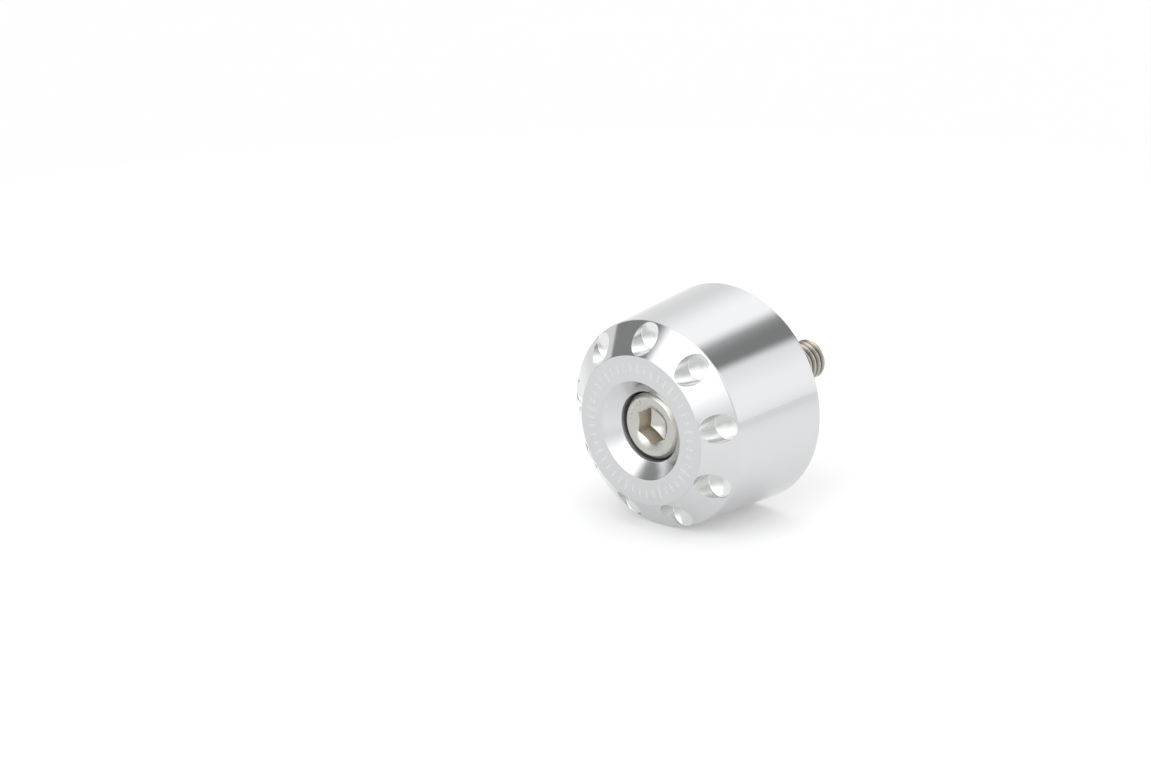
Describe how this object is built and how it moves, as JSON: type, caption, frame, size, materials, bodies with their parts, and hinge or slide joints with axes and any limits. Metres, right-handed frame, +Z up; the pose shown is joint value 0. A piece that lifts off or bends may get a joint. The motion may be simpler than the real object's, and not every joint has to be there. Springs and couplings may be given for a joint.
{
  "type": "bar end weight",
  "caption": "Turned, slightly tapered handlebar end weight with a ring of drilled pockets in its front bevel and a central socket head cap screw.",
  "frame": {"origin": "centre of the rear face, on the axis, where the screw comes out", "axes": "+Y along the screw towards the handlebar, the front face looks along -Y, +Z up through the first pocket"},
  "size_m": [0.033, 0.0391, 0.033],
  "materials": {
    "weight_aluminium": "bright turned and clear anodised",
    "screw_stainless": "plain stainless, cold formed"
  },
  "bodies": {
    "root": {"end_weight": "weight_aluminium", "cap_screw": "screw_stainless"}
  },
  "joints": []
}
